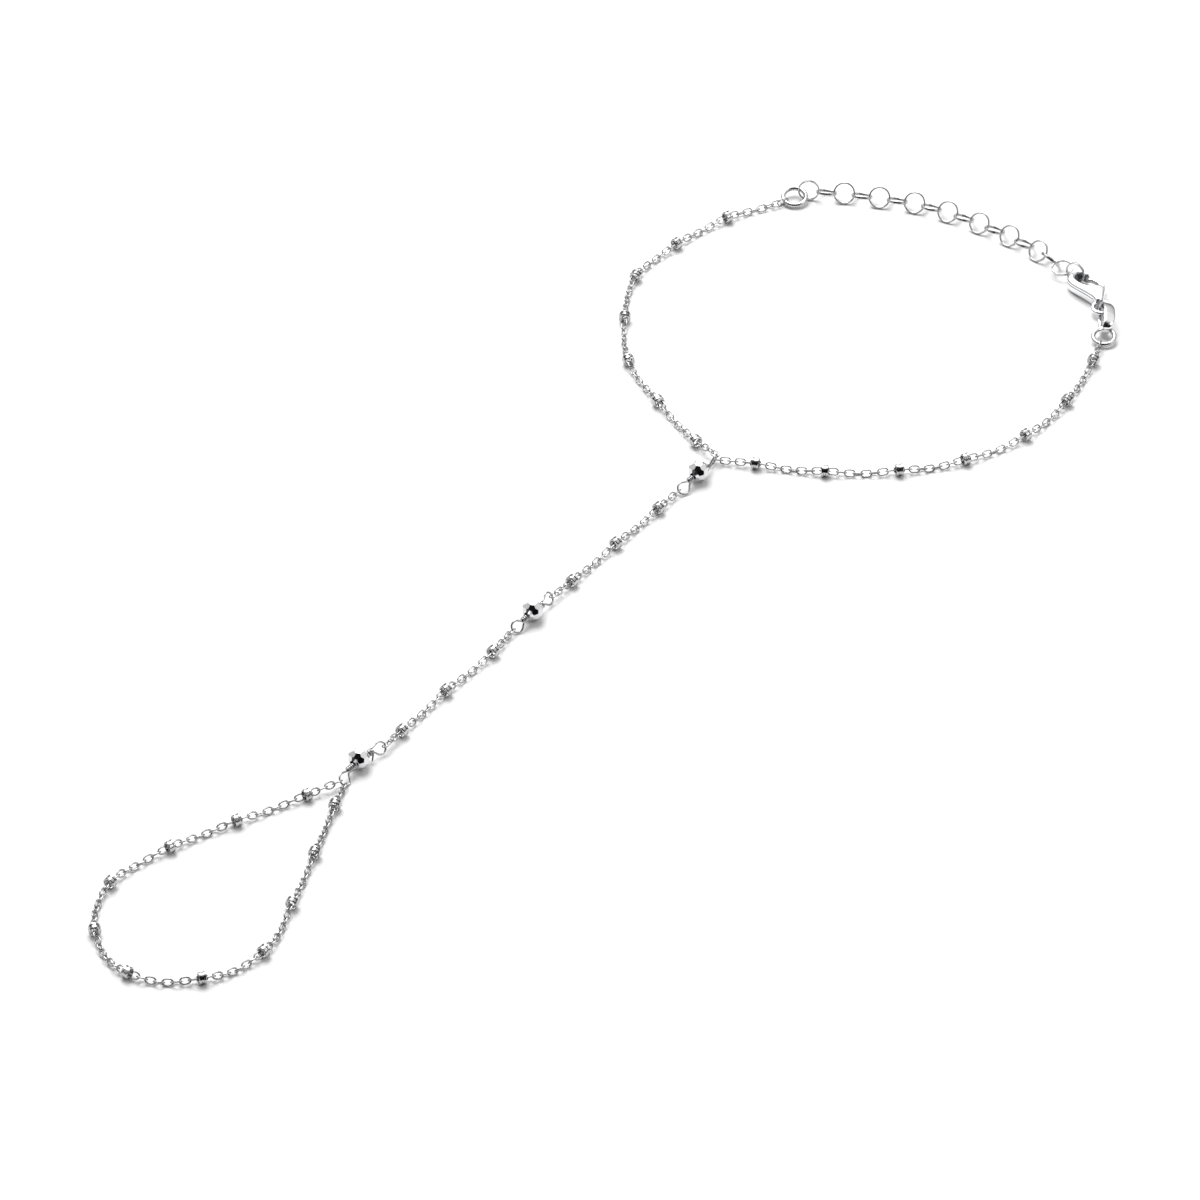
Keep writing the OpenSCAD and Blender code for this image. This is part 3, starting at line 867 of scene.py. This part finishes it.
cut(claw, *SLIT)
cut(claw, *LEVER_SLOT)
deselect_all()
bpy.ops.mesh.primitive_cylinder_add(radius=0.3, depth=1.4, location=PIN_PLACE, vertices=32)
pin = bpy.context.object
claw = join([claw, pin])
finish_piece(claw, CLASP_FRAME, "clasp_body", "bracelet", (MOUTH, THROAT, EYE_HOLE))

# %% The clasp's lever
LEVER_EDGE = 0.14
LEVER_GRAIN = 0.05
LEVER_INSIDE = (4.7, 1.5, 1.9)

thumb_lever = fuse([rounded_plate("thumb_lever", LEVER_PLAN, LEVER_THICKNESS, LEVER_EDGE)], LEVER_GRAIN)
finish_piece(thumb_lever, CLASP_FRAME, "clasp_lever", "clasp_lever", (LEVER_INSIDE,))

# %% [markdown]
# ## The broad link
# The clasp's eye and its ring are joined by a broad link: a strip with a rounded outside, bent to a long
# oval. A strip could be swept along the oval, but its rounded outside and its bow to one side would need
# two more curves. So it starts as a ring, whose round section is made wide and flat and whose circle is
# drawn out.

# %% The broad link's oval
OVAL_HALF_LENGTH = 2.78
OVAL_HALF_WIDTH = 1.28
OVAL_POWER = 2.6


def drawn_out(half_size, share):
    """A circle's share, made larger so that the sides grow straighter."""
    return math.copysign(half_size * abs(share) ** (2 / OVAL_POWER), share)


def on_oval(angle):
    """The point of the oval's middle line at this angle of the ring that it is drawn from."""
    return Vector((
        drawn_out(OVAL_HALF_LENGTH, math.cos(angle)),
        drawn_out(OVAL_HALF_WIDTH, math.sin(angle)),
        0,
    ))


oval_sizes = (on_oval(0).x, on_oval(math.pi / 2).y)
print("the oval's half length and half width in mm:", [round(size, 2) for size in oval_sizes])

# %% The broad link
START_R = 2
STRIP_HALF_THICK = 0.17
STRIP_HALF_WIDE = 0.62
STRIP_FLATNESS = 0.7
BOW = 0.35
ANGLE_STEP = 0.01
LINK_ROLL = -14
LINK_HEADING = -53.1
LINK_FRAME = (
    Matrix.Translation(in_part(26.03, 58.56, 1.5))
    @ Matrix.Rotation(math.radians(LINK_HEADING), 4, "Z")
    @ Matrix.Rotation(math.radians(90 + LINK_ROLL), 4, "X") @ Matrix.Scale(MM, 4)
)

deselect_all()
bpy.ops.mesh.primitive_torus_add(major_radius=START_R, minor_radius=1, major_segments=96, minor_segments=20)
broad_link = bpy.context.object
broad_link.name = "broad_link"
for vertex in broad_link.data.vertices:
    angle = math.atan2(vertex.co.y, vertex.co.x)
    outwards = math.hypot(vertex.co.x, vertex.co.y) - START_R
    step = on_oval(angle + ANGLE_STEP) - on_oval(angle - ANGLE_STEP)
    normal = Vector((step.y, -step.x, 0)).normalized()
    wide = math.copysign(abs(vertex.co.z) ** STRIP_FLATNESS, vertex.co.z) * STRIP_HALF_WIDE
    bow = BOW * max(0, math.sin(angle)) ** 2
    sideways = Vector((0, 0, wide * (1 + bow) - bow))
    vertex.co = on_oval(angle) + STRIP_HALF_THICK * outwards * normal + sideways
finish_piece(broad_link, LINK_FRAME, "clasp_link", "bracelet")
